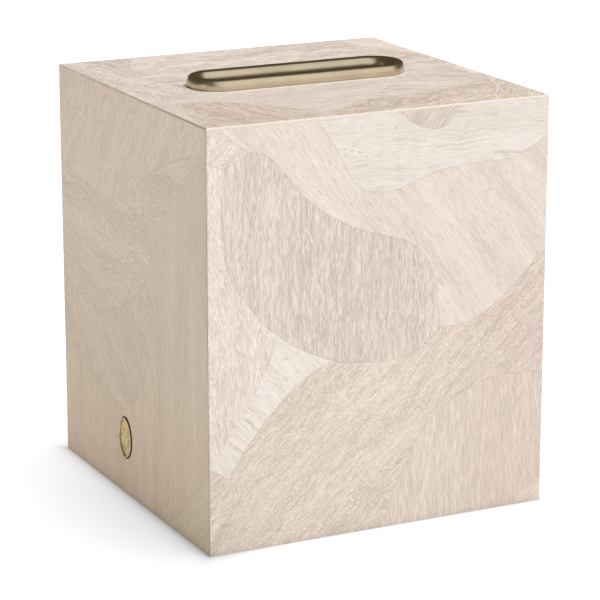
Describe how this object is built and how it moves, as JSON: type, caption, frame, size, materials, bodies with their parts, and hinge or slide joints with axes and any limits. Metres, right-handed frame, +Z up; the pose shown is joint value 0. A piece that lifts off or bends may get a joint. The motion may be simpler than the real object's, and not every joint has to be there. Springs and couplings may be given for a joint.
{
  "type": "tissue box cover",
  "caption": "Square wooden cover for a cube tissue carton, with a veneered patchwork skin, a raised brass slot ring on top and an open bottom.",
  "frame": {"origin": "centre of the base, on the surface that the cover stands on", "axes": "+Z up; -Y is the front; the slot runs along X; the medallion is in the left side, -X"},
  "size_m": [0.14, 0.1396, 0.1633],
  "materials": {
    "board": "plain sanded board",
    "veneer": "bleached, matt sealed veneer",
    "ring_metal": "satin antique brass",
    "medallion_metal": "satin brass"
  },
  "bodies": {
    "root": {"back_board": "board", "back_leaf_bottom": "veneer", "back_leaf_centre": "veneer", "back_leaf_corner_top": "veneer", "back_leaf_edge_strip": "veneer", "back_leaf_lower_right": "veneer", "back_leaf_top": "veneer", "back_leaf_upper_left": "veneer", "back_leaf_upper_right": "veneer", "front_board": "board", "front_leaf_centre": "veneer", "front_leaf_corner_low_right": "veneer", "front_leaf_corner_top_left": "veneer", "front_leaf_half_round": "veneer", "front_leaf_left_strip": "veneer", "front_leaf_lower_right": "veneer", "front_leaf_lower_sweep": "veneer", "front_leaf_pale_band": "veneer", "front_leaf_taper": "veneer", "front_leaf_upper_right": "veneer", "left_board": "board", "left_leaf_corner_low": "veneer", "left_leaf_main": "veneer", "left_leaf_middle": "veneer", "left_leaf_small_wedge": "veneer", "left_leaf_top": "veneer", "left_leaf_upper": "veneer", "medallion": "medallion_metal", "right_board": "board", "right_leaf_centre": "veneer", "right_leaf_corner_low": "veneer", "right_leaf_lower_left": "veneer", "right_leaf_lower_right": "veneer", "right_leaf_middle": "veneer", "right_leaf_top_wedge": "veneer", "right_leaf_upper_left": "veneer", "right_leaf_upper_right": "veneer", "slot_ring": "ring_metal", "top_board": "board", "top_leaf_back": "veneer", "top_leaf_before_ring": "veneer", "top_leaf_corner_back": "veneer", "top_leaf_corner_right": "veneer", "top_leaf_front_left": "veneer", "top_leaf_front_right": "veneer", "top_leaf_left": "veneer", "top_leaf_right": "veneer"}
  },
  "joints": []
}
